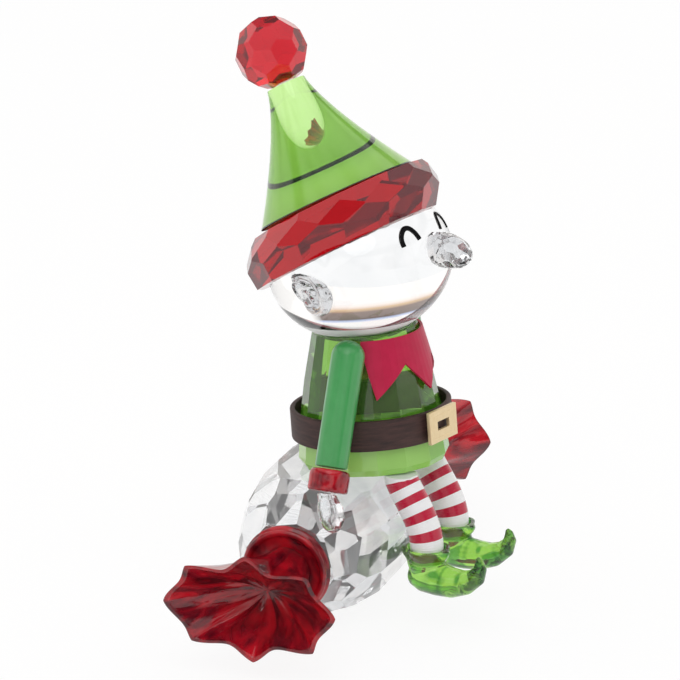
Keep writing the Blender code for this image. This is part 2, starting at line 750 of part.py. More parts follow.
def make_leg(side, end, ankle_y, ankle_z, lacquer):
    """A bent striped leg from under the tunic down into its shoe."""
    x = end * LEG_X
    hip_y = ankle_y + LEG_BEND
    hip_z = hem_point(x, hip_y)
    start = Vector((x, hip_y, hip_z))
    thigh = start + tilt(BODY_LEAN) @ Vector((0, 0, -0.9))
    path = [start, thigh]
    for step in range(1, 8):
        share = step / 8
        swing = math.sin(share * math.pi / 2) ** 1.15
        path.append(thigh + Vector((0, (ankle_y - thigh.y) * swing, (ankle_z - thigh.z) * share)))
    path.append(Vector((x, ankle_y, ankle_z)))
    path.append(Vector((x, ankle_y, ankle_z - LEG_SINK)))
    curve = bpy.data.curves.new(f"leg_{side}", "CURVE")
    curve.dimensions = "3D"
    curve.bevel_depth = LEG_RADIUS * MM
    curve.bevel_resolution = 6
    curve.use_fill_caps = True
    spline = curve.splines.new("POLY")
    spline.points.add(len(path) - 1)
    for point, spot in zip(spline.points, path):
        point.co = (*(spot * MM), 1)
    place(f"leg_{side}", curve, lacquer)


def shoe_mesh(name):
    """The slipper's foot: ovals along a spine from the heel to the curled toe."""
    spine = (
        (3.0, 3.0, 0.45, 0.5, 0),
        (2.3, 3.0, 0.78, 2.3, 0),
        (0.4, 2.95, 0.95, 2.95, 0),
        (-2.6, 2.8, 1.0, 2.8, 0),
        (-5.6, 2.85, 0.95, 2.55, 8),
        (-8.2, 3.5, 0.8, 2.1, 28),
        (-10.3, 4.9, 0.6, 1.65, 55),
        (-11.2, 6.6, 0.4, 1.15, 88),
        (-11.0, 7.9, 0.24, 0.75, 115),
        (-10.6, 8.5, 0.1, 0.35, 125),
    )
    rings = []
    for y, z, width, height, pitch in spine:
        tip = Matrix.Rotation(math.radians(-pitch), 3, "X")
        section = []
        for point in ring(1.0, 0.0, 20):
            local = Vector((point.x * SHOE_HALF_WIDTH * width, 0, point.y * height))
            section.append(tip @ local + Vector((0, y, z)))
        rings.append(section)
    bm = loft(rings)
    bmesh.ops.recalc_face_normals(bm, faces=bm.faces)
    grind(bm, [((0, 0, -1), -0.12)])
    return mesh_from(bm, name)


def make_shoe(side, end, ankle_y, ankle_z, green):
    """A curled slipper with a flared cuff and a socket for the leg."""
    sole = Vector((end * LEG_X, ankle_y, ankle_z - SHOE_ANKLE_HEIGHT))
    turn = Matrix.Rotation(math.radians(TOE_OUT * end), 3, "Z")
    shoe = place(f"shoe_{side}", shoe_mesh(f"shoe_{side}"), green, at(*sole, turn))
    socket = SHOE_ANKLE_HEIGHT - LEG_SINK - GLUE_GAP
    rim = LEG_RADIUS + CUFF_FLARE
    cuff = [
        (0.0, SHOE_ANKLE_HEIGHT + 0.3),
        (rim - 0.5, SHOE_ANKLE_HEIGHT + 0.3),
        (rim, SHOE_ANKLE_HEIGHT - 0.1),
        (rim - 0.15, SHOE_ANKLE_HEIGHT - 0.7),
        (rim - 0.55, SHOE_ANKLE_HEIGHT - 1.7),
        (rim - 0.75, SHOE_ANKLE_HEIGHT - 2.9),
        (SHOE_HALF_WIDTH - 0.3, socket - 1.6),
        (0.0, socket - 1.6),
    ]
    collar = turned(f"shoe_cuff_{side}", cuff, 28, None, at(*sole), CUTTERS)
    cut_with(shoe, collar, "UNION")
    bore_radius = LEG_RADIUS + GLUE_GAP
    bore = [
        (0.0, SHOE_ANKLE_HEIGHT + 2),
        (bore_radius, SHOE_ANKLE_HEIGHT + 2),
        (bore_radius, socket),
        (0.0, socket),
    ]
    well = turned(f"shoe_socket_{side}", bore, 28, None, at(*sole), CUTTERS)
    cut_with(shoe, well)


def build():
    """Builds every piece of the figurine."""
    start_clean()
    clear = finish("clear_crystal", (0.93, 0.95, 0.96), 0.02, clear=1.0)
    ruby = finish("ruby_crystal", (0.55, 0.01, 0.03), 0.03, clear=0.9)
    lime = finish("lime_crystal", (0.33, 0.62, 0.07), 0.03, clear=0.9)
    forest = finish("green_crystal", (0.12, 0.32, 0.06), 0.03, clear=0.9)
    satin = finish("satin_green_lacquer", (0.06, 0.36, 0.14), 0.35)
    stripe = finish("striped_lacquer", (0.75, 0.72, 0.72), 0.2)
    strap = finish("dark_belt", (0.045, 0.02, 0.015), 0.6)
    gold = finish("pale_gold", (0.83, 0.68, 0.45), 0.25, metallic=0.8)
    felt = finish("collar_lacquer", (0.58, 0.03, 0.09), 0.35)

    make_candy(clear)
    make_tunic(forest)
    make_belt(strap, gold)
    make_collar(felt)
    make_head(clear)
    make_brim(ruby)
    make_hat(lime, ruby)
    make_nose(clear)
    ankles = {
        "right": (RIGHT_ANKLE_REACH, RIGHT_ANKLE_RISE),
        "left": (LEFT_ANKLE_REACH, LEFT_ANKLE_RISE),
    }
    standoffs = {"right": RIGHT_HAND_STANDOFF, "left": LEFT_HAND_STANDOFF}
    for side, end in (("right", -1), ("left", 1)):
        ankle_y = BODY_Y - ankles[side][0]
        ankle_z = CANDY_Z + ankles[side][1]
        make_wrapper(side, end, ruby)
        make_ear(side, end, clear)
        make_arm(side, end, standoffs[side], satin, ruby, clear)
        make_leg(side, end, ankle_y, ankle_z, stripe)
        make_shoe(side, end, ankle_y, ankle_z, lime)


build()
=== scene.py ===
# %% [markdown]
# # A cut-crystal elf on a wrapped sweet
#
# The real object is an ornament glued together from polished crystal, lacquered metal and a
# plated buckle. Its solids were designed first as CAD, and this lesson dresses them: the smooth
# pieces are modelled again with a finer surface, the faceted ones keep their exact planes, and
# every piece gets the finish of its real material. Everything is in metres in the CAD's frame:
# +Z is up, the elf faces -Y, and its right side is towards -X.

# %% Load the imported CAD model
import math

import bmesh
import bpy
from mathutils import Matrix, Vector


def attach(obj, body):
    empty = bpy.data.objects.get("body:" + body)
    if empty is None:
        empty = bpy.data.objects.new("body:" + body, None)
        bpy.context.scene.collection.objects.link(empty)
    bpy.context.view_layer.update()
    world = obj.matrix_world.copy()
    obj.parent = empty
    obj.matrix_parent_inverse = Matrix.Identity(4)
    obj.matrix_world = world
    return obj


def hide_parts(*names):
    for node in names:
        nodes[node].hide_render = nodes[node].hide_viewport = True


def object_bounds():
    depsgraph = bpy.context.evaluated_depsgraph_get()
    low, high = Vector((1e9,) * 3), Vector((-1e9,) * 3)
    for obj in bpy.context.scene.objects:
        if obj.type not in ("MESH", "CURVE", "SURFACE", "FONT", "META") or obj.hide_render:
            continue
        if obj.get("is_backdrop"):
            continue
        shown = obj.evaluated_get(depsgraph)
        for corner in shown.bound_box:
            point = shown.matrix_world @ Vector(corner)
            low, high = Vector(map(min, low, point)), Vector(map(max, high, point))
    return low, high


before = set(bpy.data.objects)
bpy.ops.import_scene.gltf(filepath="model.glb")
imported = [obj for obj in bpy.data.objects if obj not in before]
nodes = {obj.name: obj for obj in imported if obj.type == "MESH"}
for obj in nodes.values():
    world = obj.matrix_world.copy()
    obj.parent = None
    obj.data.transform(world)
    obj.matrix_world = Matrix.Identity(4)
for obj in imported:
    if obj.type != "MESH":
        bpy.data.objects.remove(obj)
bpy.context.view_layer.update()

MM = 0.001

# %% [markdown]
# ## Tools for the bench
#
# Blender's operators work on whatever is selected, so every step starts by selecting exactly one
# piece. A finished piece sits at the origin with its place in its mesh, rides on the CAD body,
# and stands for the plain CAD node that it was modelled over.

# %% Selecting, placing and finishing a piece
def pick(piece=None):
    """Leaves edit mode, deselects everything and selects one piece."""
    if bpy.context.object and bpy.context.object.mode != "OBJECT":
        bpy.ops.object.mode_set(mode="OBJECT")
    bpy.ops.object.select_all(action="DESELECT")
    if piece:
        piece.select_set(True)
        bpy.context.view_layer.objects.active = piece


def choose_faces(piece, wanted):
    """In edit mode, selects only the faces for which wanted is true, and says how many."""
    bpy.ops.mesh.select_all(action="DESELECT")
    grid = bmesh.from_edit_mesh(piece.data)
    grid.normal_update()
    chosen = [face for face in grid.faces if wanted(face)]
    for face in chosen:
        face.select_set(True)
    bmesh.update_edit_mesh(piece.data)
    return len(chosen)


def placed(piece, matrix):
    """Moves a piece that was made at the origin to its place, and keeps that in its mesh."""
    piece.data.transform(matrix)
    piece.data.update()
    return piece


def settle(piece, node, finish, smooth=180):
    """Shades a piece, gives it its finish and lets it stand for a CAD node."""
    pick(piece)
    bpy.ops.object.transform_apply(location=True, rotation=True, scale=True)
    bpy.ops.object.shade_smooth_by_angle(angle=math.radians(smooth))
    piece.data.materials.clear()
    piece.data.materials.append(finish)
    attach(piece, "root")
    if node:
        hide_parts(node)
    print(piece.name, "faces:", len(piece.data.polygons))
    return piece


def tilt(degrees):
    """Leans a local Z axis back, towards +Y."""
    return Matrix.Rotation(-math.radians(degrees), 3, "X")


def spot(x, y, z, turn=None):
    """A placement from a position in millimetres and a rotation."""
    where = Matrix.Translation(Vector((x, y, z)) * MM)
    return where @ turn.to_4x4() if turn else where


# %% [markdown]
# ## A lathe
#
# Blown, turned and polished round pieces are all solids of revolution. Each is drawn as half a
# section, and the Spin operator turns it round the Z axis as a lathe would. A few control points
# are enough, because a smooth curve is passed through them first.

# %% Turning a half section
def smooth_line(points, steps):
    """Points along a smooth curve through the given ones."""
    ends = [points[0], *points, points[-1]]
    line = []
    for a, b, c, d in zip(ends, ends[1:], ends[2:], ends[3:]):
        for step in range(steps):
            t = step / steps
            line.append(tuple(
                0.5 * (2 * q + (r - p) * t + (2 * p - 5 * q + 4 * r - s) * t * t
                       + (3 * q - p - 3 * r + s) * t ** 3)
                for p, q, r, s in zip(a, b, c, d)))
    return line + [tuple(points[-1])]


def turn_piece(name, section, steps, closed=False):
    """Spins radius and height pairs in millimetres about the Z axis."""
    mesh = bpy.data.meshes.new(name)
    edges = [(i, i + 1) for i in range(len(section) - 1)]
    if closed:
        edges.append((len(section) - 1, 0))
    mesh.from_pydata([(r * MM, 0, h * MM) for r, h in section], edges, [])
    piece = bpy.data.objects.new(name, mesh)
    bpy.context.scene.collection.objects.link(piece)
    pick(piece)
    bpy.ops.object.mode_set(mode="EDIT")
    bpy.ops.mesh.select_all(action="SELECT")
    bpy.ops.mesh.spin(steps=steps, angle=math.tau, center=(0, 0, 0), axis=(0, 0, 1))
    bpy.ops.mesh.select_all(action="SELECT")
    bpy.ops.mesh.remove_doubles(threshold=0.000002)
    bpy.ops.mesh.normals_make_consistent(inside=False)
    bpy.ops.object.mode_set(mode="OBJECT")
    return piece


# %% [markdown]
# ## Bent rods and soft edges
#
# A rod starts as a curve with a round bevel and is turned into a mesh. Edges that a real piece
# would have rounded off in polishing are bevelled.

# %% Rods and edges
def bent_rod(name, line, radius_mm, detail):
    """A round rod with closed ends, along a line of points in millimetres."""
    curve = bpy.data.curves.new(name, "CURVE")
    curve.dimensions = "3D"
    curve.bevel_depth = radius_mm * MM
    curve.bevel_resolution = detail
    curve.use_fill_caps = True
    spline = curve.splines.new("POLY")
    spline.points.add(len(line) - 1)
    for point, place in zip(spline.points, line):
        point.co = (*(Vector(place) * MM), 1)
    rod = bpy.data.objects.new(name, curve)
    bpy.context.scene.collection.objects.link(rod)
    pick(rod)
    bpy.ops.object.convert(target="MESH")
    return rod


def soften(piece, width_mm, turning=30):
    """Bevels the edges where the surface turns by more than this many degrees."""
    bevel = piece.modifiers.new("soft_edges", "BEVEL")
    bevel.width = width_mm * MM
    bevel.segments = 3
    bevel.limit_method = "ANGLE"
    bevel.angle_limit = math.radians(turning)
    pick(piece)
    bpy.ops.object.modifier_apply(modifier="soft_edges")


# %% [markdown]
# ## A wrapped sheet
#
# The pleated fans have a section that changes along their length. A fine grid is added flat, and
# each of its points is then laid on the piece's surface, as a sheet of film is laid on a mould.
# The sheet's two long edges meet and are merged, and its ends are closed.
#
# Each point also keeps a place in a pattern, called "lay", so that the streaks in the glass can
# run along the sheet. The pattern is spread more where the fan is wide, or the streaks there
# would be too wide as well.

# %% Laying a grid on a surface
def wrap_sheet(name, around, along, surface):
    """Lays a grid on surface(angle, share), which gives millimetres, and closes it."""
    pick()
    bpy.ops.mesh.primitive_grid_add(x_subdivisions=around, y_subdivisions=along, size=1)
    piece = bpy.context.object
    piece.name = piece.data.name = name
    lay = piece.data.attributes.new("lay", "FLOAT_VECTOR", "POINT")
    for vertex, pattern in zip(piece.data.vertices, lay.data):
        angle, share = math.tau * (vertex.co.x + 0.5), vertex.co.y + 0.5
        laid = surface(angle, share)
        spread = 4 + 0.5 * math.hypot(laid.x, laid.y)
        vertex.co = laid * MM
        pattern.vector = (spread * math.cos(angle), spread * math.sin(angle), 5 * share)
    bpy.ops.object.mode_set(mode="EDIT")
    bpy.ops.mesh.select_all(action="SELECT")
    bpy.ops.mesh.remove_doubles(threshold=0.000003)
    bpy.ops.mesh.select_all(action="DESELECT")
    bpy.ops.mesh.select_non_manifold()
    bpy.ops.mesh.edge_face_add()
    bpy.ops.mesh.select_all(action="SELECT")
    bpy.ops.mesh.normals_make_consistent(inside=False)
    bpy.ops.object.mode_set(mode="OBJECT")
    return piece


# %% [markdown]
# ## The camera
#
# The photograph was taken from far away with a long lens, so its lines hardly converge. The
# camera stands about 35 degrees round from the elf's right side, 17 degrees above the horizon,
# and more than half a metre away. Its place, its two axes and its lens were fitted to the
# outlines of the pieces in the photograph.

# %% Camera
CAMERA_PLACE = (-562.80, -389.14, 252.36)
CAMERA_RIGHT = Vector((0.56786, -0.82312, 0.0))
CAMERA_UP = Vector((0.23887, 0.16479, 0.95697))
camera_data = bpy.data.cameras.new("studio_camera")
camera = bpy.data.objects.new("studio_camera", camera_data)
bpy.context.scene.collection.objects.link(camera)
camera_data.sensor_width = 36
camera_data.lens = 222.4
camera_data.clip_start = 0.05
camera_data.clip_end = 20
axes = (CAMERA_RIGHT, CAMERA_UP, CAMERA_RIGHT.cross(CAMERA_UP))
camera.matrix_world = spot(*CAMERA_PLACE, Matrix(axes).transposed())
bpy.context.scene.camera = camera

# %% [markdown]
# ## Colours and nodes
#
# Colours are written as the hex values that a paint chart or a screen would give, and one
# function turns them into the linear values that a shader needs. The others add a node with its
# settings and its links, and most of them give back the output that the next node needs.

# %% Colour and node helpers
WHITE = (1, 1, 1, 1)


def linear(code):
    """An sRGB hex value as linear red, green, blue and alpha."""
    values = (int(code[i:i + 2], 16) / 255 for i in (0, 2, 4))
    return (*(v / 12.92 if v <= 0.04045 else ((v + 0.055) / 1.055) ** 2.4 for v in values), 1.0)


def add_node(tree, kind, inputs=None, **settings):
    """Adds a node; an input is a plain value or another node's output."""
    node = tree.nodes.new(kind)
    for key, value in settings.items():
        setattr(node, key, value)
    for key, value in (inputs or {}).items():
        if isinstance(value, bpy.types.NodeSocket):
            tree.links.new(value, node.inputs[key])
        else:
            node.inputs[key].default_value = value
    return node


def new_finish(name, **sockets):
    """A material whose Principled shader has these constant sockets set."""
    finish = bpy.data.materials.new(name)
    finish.use_nodes = True
    shader = finish.node_tree.nodes["Principled BSDF"]
    for key, value in sockets.items():
        shader.inputs[key.replace("_", " ")].default_value = value
    return finish, finish.node_tree, shader


def object_place(tree):
    """Where the shaded point lies, in metres in the CAD's frame."""
    return add_node(tree, "ShaderNodeTexCoord").outputs["Object"]


def blotches(tree, place, size, **inputs):
    """Noise with blotches of about this size, which is in the units of the place."""
    return add_node(tree, "ShaderNodeTexNoise", {
        "Vector": place, "Scale": 1 / size, **inputs}).outputs["Fac"]


def calculate(tree, operation, *values):
    """An operation on numbers."""
    return add_node(
        tree, "ShaderNodeMath", dict(enumerate(values)), operation=operation).outputs[0]


def measure(tree, operation, *values):
    """An operation on vectors that gives a number: a dot product or a length."""
    return add_node(
        tree, "ShaderNodeVectorMath", dict(enumerate(values)), operation=operation).outputs["Value"]


def fade(tree, value, start, end):
    """0 where the value is at the start, 1 where it is at the end, and even between them."""
    return add_node(tree, "ShaderNodeMapRange", {
        "Value": value, "From Min": start, "From Max": end}).outputs[0]


def mix(tree, share, first, second, blend="MIX"):
    """The first colour where the share is 0, and the second where it is 1."""
    return add_node(tree, "ShaderNodeMix", {
        0: share, 6: first, 7: second}, data_type="RGBA", blend_type=blend).outputs[2]


def colour_ramp(tree, value, *stops):
    """A ramp through two or more pairs of a place and a colour, in order of place."""
    ramp = add_node(tree, "ShaderNodeValToRGB", {"Fac": value})
    elements = ramp.color_ramp.elements
    stops = [(place, linear(c) if isinstance(c, str) else c) for place, c in stops]
    for end in (0, -1):
        elements[end].position, elements[end].color = stops[end]
    for place, colour in stops[1:-1]:
        elements.new(place).color = colour
    return ramp.outputs["Color"]


def emboss(tree, shader, height, strength, depth_mm):
    """Presses a pattern of heights into the surface."""
    bump = add_node(tree, "ShaderNodeBump", {
        "Height": height, "Strength": strength, "Distance": depth_mm * MM})
    tree.links.new(bump.outputs["Normal"], shader.inputs["Normal"])


def absorb(tree, colour, density):
    """Fills a piece with a melt that lets this colour through best."""
    volume = add_node(tree, "ShaderNodeVolumeAbsorption", {
        "Color": linear(colour), "Density": density})
    tree.links.new(volume.outputs["Volume"], tree.nodes["Material Output"].inputs["Volume"])


def tint_over(finish, mask, colour, blend="MIX"):
    """Lays a colour over the one that already reaches the shader, where the mask is 1."""
    tree = finish.node_tree
    base = tree.nodes["Principled BSDF"].inputs["Base Color"]
    tree.links.new(mix(tree, mask, base.links[0].from_socket, colour, blend), base)


# %% [markdown]
# ## Crystal
#
# The clear pieces are lead-free crystal glass, ground and then polished with oxide until the
# surface is as flat as a mirror. What the eye sees is light bent by the facets, with dark lines
# where it is thrown back inside. A refractive index of 1.56 is typical. The coloured ones are the
# same glass with metal oxides melted in. Part of their colour is in the depth, as an absorbing
# volume that darkens the long light paths, and part is a tint that the light takes on as it
# passes the surface. Cords in the melt, about 4 mm apart, shift that tint a little.
#
# Light that is thrown about inside a cut piece many times fills it with a milky gleam. A render
# stops following such paths, so a veil stands in for them: a small share of the light is
# scattered at the surface in place of passing through.

# %% Crystal finishes
CRYSTAL_IOR = 1.56
CORD_MM = 4


def cut_crystal(name, tint, cord, depth_colour=None, density=0.0, frosted=None, veil=0.0):
    """Polished crystal, with its tint and the tint of its cords.

    frosted is a direction, a level along it in millimetres and a colour: the part below that
    level is ground dull, and all above it is fully clear.
    """
    finish, tree, shader = new_finish(
        name, Roughness=0.0, IOR=CRYSTAL_IOR, Transmission_Weight=1.0 - veil)
    place = object_place(tree)
    colour = mix(tree, blotches(tree, place, CORD_MM * MM, Detail=1.0), linear(tint), linear(cord))
    if frosted:
        way, level, coat = frosted
        foot = calculate(tree, "LESS_THAN", measure(tree, "DOT_PRODUCT", place, way), level * MM)
        colour = mix(tree, foot, colour, linear(coat))
        clear = calculate(tree, "SUBTRACT", 1.0, foot)
        dull = calculate(tree, "MULTIPLY", foot, 0.6)
        tree.links.new(clear, shader.inputs["Transmission Weight"])
        tree.links.new(dull, shader.inputs["Roughness"])
    tree.links.new(colour, shader.inputs["Base Color"])
    if depth_colour:
        absorb(tree, depth_colour, density)
    return finish


def add_pools(finish):
    """Moulded glass: its colour lies in uneven darker pools, about 4 mm across."""
    tree = finish.node_tree
    pools = blotches(tree, object_place(tree), 4 * MM, Detail=1.0, Distortion=0.6)
    tint_over(finish, fade(tree, pools, 0.52, 0.6), linear("3E8A34"))


clear_crystal = cut_crystal("clear_crystal", "FFFFFF", "F6F9FB")
carved_crystal = cut_crystal("carved_crystal", "FFFFFF", "B4B7BC")
ruby_crystal = cut_crystal("ruby_crystal", "F03A54", "E0304C", "F01C38", 130, veil=0.12)
sweet_crystal = cut_crystal("sweet_crystal", "FFFFFF", "C6CACF", veil=0.1)
shoe_crystal = cut_crystal("moulded_lime_crystal", "BCEC78", "9CD856", "90D848", 38, veil=0.08)
add_pools(shoe_crystal)

# %% [markdown]
# The fans, knots and cuffs are pressed while hot, like moulded table glass, and are too thin for
# the melt's colour to show by itself, so they are flashed: a skin of dark ruby glass lies over
# them. It gathers in the folds, which gives bright and dark streaks that run along the pleats.

# %% Pressed ruby glass
def pressed_ruby(name, streak_mm, clear, on_sheet=False):
    """Flashed ruby glass with streaks of this width, which run along a wrapped sheet."""
    finish, tree, shader = new_finish(
        name, Roughness=0.04, IOR=CRYSTAL_IOR, Transmission_Weight=clear)
    if on_sheet:
        lay = add_node(tree, "ShaderNodeAttribute", attribute_name="lay").outputs["Vector"]
        size = streak_mm
    else:
        lay = object_place(tree)
        size = streak_mm * MM
    streaks = blotches(tree, lay, size, Detail=2.0, Roughness=0.45, Distortion=0.8)
    tone = colour_ramp(tree, streaks, (0.36, "640E1E"), (0.48, "A81426"), (0.62, "DC1A2C"))
    tree.links.new(tone, shader.inputs["Base Color"])
    emboss(tree, shader, streaks, 0.5, 0.5)
    return finish


fan_glass = pressed_ruby("pressed_ruby_pleats", 2.8, 0.5, on_sheet=True)
ring_glass = pressed_ruby("pressed_ruby_ring", 5.0, 0.3)

# %% [markdown]
# ## Lacquer, belt and plating
#
# The arms, collar and legs are metal under stoving lacquer: an opaque colour with a soft shine.
# The belt is stamped with a fine grain that runs round the body, and the buckle is plated pale
# gold. Each has a little unevenness of colour and gloss, as a sprayed coat does.

# %% Lacquered finishes
def sprayed_lacquer(name, colour, shade, roughness, mottle_mm=2.0, **gloss):
    """An opaque sprayed coat whose colour drifts a little over a few millimetres."""
    finish, tree, shader = new_finish(name, Roughness=roughness, **gloss)
    drift = blotches(tree, object_place(tree), mottle_mm * MM, Detail=3.0)
    tree.links.new(mix(tree, drift, linear(colour), linear(shade)), shader.inputs["Base Color"])
    emboss(tree, shader, drift, 0.04, 0.1)
    return finish


green_lacquer = sprayed_lacquer(
    "green_stoving_lacquer", "48A85C", "3C9850", 0.3, Coat_Weight=0.3, Coat_Roughness=0.1)
red_lacquer = sprayed_lacquer(
    "red_stoving_lacquer", "CE1E4E", "BA1642", 0.45, Specular_IOR_Level=0.3)

# %% Belt finish
def belt_finish():
    """Stamped brown strap: a fine grain, 0.25 mm between its lines, that runs round the body."""
    finish, tree, shader = new_finish("stamped_brown_strap", Roughness=0.62)
    # The body leans back by 5 degrees, so the grain is stood upright before it is stretched.
    upright = add_node(tree, "ShaderNodeMapping", {
        "Vector": object_place(tree), "Rotation": (math.radians(5), 0, 0)})
    stretch = add_node(tree, "ShaderNodeMapping", {
        "Vector": upright.outputs["Vector"], "Scale": (0.12, 0.12, 1.0)})
    grain = blotches(tree, stretch.outputs["Vector"], 0.5 * MM, Detail=5.0, Roughness=0.65)
    tone = colour_ramp(tree, grain, (0.3, "241210"), (0.7, "4C302C"))
    tree.links.new(tone, shader.inputs["Base Color"])
    emboss(tree, shader, grain, 0.5, 0.08)
    return finish


brown_strap = belt_finish()

# %% Plating and enamel
def gold_plating():
    """Pale gold plating, brushed very finely, so its glints are soft."""
    finish, tree, shader = new_finish("pale_gold_plating", Metallic=0.55, Roughness=0.38)
    satin = blotches(tree, object_place(tree), 0.6 * MM, Detail=4.0)
    gold = mix(tree, satin, linear("F2DDB4"), linear("E4CB9C"))
    tree.links.new(gold, shader.inputs["Base Color"])
    return finish


pale_gold = gold_plating()
black_enamel = sprayed_lacquer(
    "matt_black_enamel", "060608", "101012", 0.5, mottle_mm=0.8, Specular_IOR_Level=0.1)

# %% [markdown]
# ## Studio
#
# The ornament stands on a white sweep under a wide soft sky. Crystal has no look of its own: it
# shows what surrounds it, and a plain white room would make it vanish. Photographers put dark
# cards round it, and leave gaps between their lamps: here the sky has soft dark patches on the
# side of the camera, and one dark gap above the backdrop, that only the crystal and the lacquer
# see. The camera itself sees white behind the object, and the floor keeps a faint shadow.

# %% World
TOWARDS_BACKDROP = (0.823, 0.568, 0.0)
CARD_LEVELS = ((0.34, 0.03), (0.41, 0.35), (0.48, 0.75), (0.56, 1.0))
GAP_LEVELS = ((0.40, 1.0), (0.47, 0.16), (0.56, 0.16), (0.64, 1.0))


def link_sky(tree):
    """The sky with its dark cards and its dark gap, which the camera itself sees as white."""
    way = add_node(tree, "ShaderNodeTexCoord").outputs["Generated"]
    cards = add_node(tree, "ShaderNodeTexNoise", {"Vector": way, "Scale": 2.2, "Detail": 1.0})
    card_tone = colour_ramp(
        tree, cards.outputs["Fac"],
        *((place, (level, level, level * 1.02, 1)) for place, level in CARD_LEVELS), (1.0, WHITE))
    backdrop = fade(tree, measure(tree, "DOT_PRODUCT", way, TOWARDS_BACKDROP), 0.1, 0.55)
    height = add_node(tree, "ShaderNodeSeparateXYZ", {0: way}).outputs["Z"]
    gap_tone = colour_ramp(
        tree, height,
        *((place, (level, level * 0.97, level * 0.94, 1)) for place, level in GAP_LEVELS),
        (1.0, WHITE))
    room = mix(tree, 1.0, mix(tree, backdrop, card_tone, WHITE), gap_tone, "MULTIPLY")
    camera_looks = add_node(tree, "ShaderNodeLightPath").outputs["Is Camera Ray"]
    sky = tree.nodes["Background"]
    tree.links.new(mix(tree, camera_looks, room, WHITE), sky.inputs["Color"])
    sky.inputs["Strength"].default_value = 1.1


world = bpy.data.worlds.new("studio_sky")
bpy.context.scene.world = world
world.use_nodes = True
link_sky(world.node_tree)

# %% Floor
def sweep_finish():
    """Matt white that glows where it is looked at, also through glass, so shadows stay faint."""
    finish, tree, shader = new_finish("white_sweep", Base_Color=linear("F6F6F6"), Roughness=0.9)
    ray = add_node(tree, "ShaderNodeLightPath").outputs
    bent = calculate(tree, "MAXIMUM", ray["Is Glossy Ray"], ray["Is Transmission Ray"])
    looked_at = calculate(tree, "MAXIMUM", ray["Is Camera Ray"], bent)
    share = calculate(tree, "MULTIPLY", looked_at, 0.86)
    glow = add_node(tree, "ShaderNodeEmission", {"Color": WHITE, "Strength": 1.03})
    both = add_node(tree, "ShaderNodeMixShader", {
        0: share, 1: shader.outputs[0], 2: glow.outputs[0]})
    tree.links.new(both.outputs[0], tree.nodes["Material Output"].inputs["Surface"])
    return finish


pick()
bpy.ops.mesh.primitive_plane_add(size=4.0, location=(0, 0, 0))
floor = bpy.context.object
floor.name = "floor"
floor.data.materials.append(sweep_finish())
floor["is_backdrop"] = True

# %% [markdown]
# A large soft lamp above the camera's left gives the lacquer its shape.

# %% Lamp
lamp_data = bpy.data.lights.new("soft_box", "AREA")
lamp_data.shape = "DISK"
lamp_data.size = 0.5
lamp_data.energy = 0.8
lamp = bpy.data.objects.new("soft_box", lamp_data)
bpy.context.scene.collection.objects.link(lamp)
aim = Vector((-0.45, -0.25, 0.6))
lamp.matrix_world = Matrix.Translation(aim) @ aim.to_track_quat("Z", "Y").to_matrix().to_4x4()

# %% [markdown]
# ## Key sizes
#
# The same sizes that place the CAD solids place the finer pieces: the sweet's centre height, the
# leaning axis of the body, and the head's centre on that axis. Lengths are in millimetres and
# angles in degrees. Neighbours are held apart by the thickness of the glue.

# %% Places on the object
GLUE = 0.3
SWEET_Z = 12.95
SWEET_YAW = 17.4
BODY_Y = -9.1
BODY_LEAN = 5.0
HEAD_RADIUS = 15.85
HEAD_HALF_HEIGHT = 13.2
HEAD_TILT = 17.4
BRIM_TILT = 31.0
TUNIC_SIDES = 16
LEG_X = 6.2
SIDES = (("right", -1), ("left", 1))
# Each leg's side, how far the ankle lies ahead of the body, and how far above the sweet's centre.
LEGS = (("right", -1, 13.8, 0.85), ("left", 1, 10.8, 1.25))


def on_axis(level):
    """The point of the body's axis at a level above the sweet's centre."""
    return Vector((0, BODY_Y, SWEET_Z)) + tilt(BODY_LEAN) @ Vector((0, 0, level))


UP = Vector((0, 0, 1))
BODY_UP = tilt(BODY_LEAN) @ UP
BRIM_UP = tilt(BRIM_TILT) @ UP
HEAD = on_axis(47.0)
BRIM = HEAD + Vector((0, 2.8, 1.65))
BODY = spot(0, BODY_Y, SWEET_Z, tilt(BODY_LEAN))
print("head centre in mm:", [round(v, 2) for v in HEAD])

# %% [markdown]
# ## Head
#
# The head is one smooth lens-like ellipsoid, ground flat on top where the brim is glued. A UV
# sphere scaled on two axes gives the exact form, and Bisect grinds the flat. It needs many
# faces, because a coarse crystal bends light in visible steps. Its underside is left frosted
# where it is glued into the tunic. Above that, the front has a painted band like a smile: a
# painted refraction of a dark line, with a painted orange edge above and a blue one below, as
# thick glass splits light at a dark line. The band is a tint that is laid over the face, because
# the render's own light doesn't draw it.

# %% Head
HEAD_SEAT = 37.6
BAND_LOW, BAND_HIGH = 51.2, 55.0
FACE_FROM, FACE_FULL = -4.5, -6.5


def add_painted_refraction_band(finish):
    """The painted refraction band, between two heights above the table, on the face's side only."""
    tree = finish.node_tree
    place = object_place(tree)
    height = measure(tree, "DOT_PRODUCT", place, Vector((0, 0.1, 1)).normalized())
    # Painted refraction: a dark band with painted blue and orange fringes, laid over the face.
    painted_band = colour_ramp(
        tree, fade(tree, height, BAND_LOW * MM, BAND_HIGH * MM),
        (0.0, "FFFFFF"), (0.08, "A0B4EC"), (0.18, "3C302C"), (0.55, "54423C"), (0.7, "C89868"),
        (0.86, "FFEEE4"), (1.0, WHITE))
    depth = add_node(tree, "ShaderNodeSeparateXYZ", {0: place}).outputs["Y"]
    tint_over(finish, fade(tree, depth, FACE_FROM * MM, FACE_FULL * MM), painted_band, "MULTIPLY")


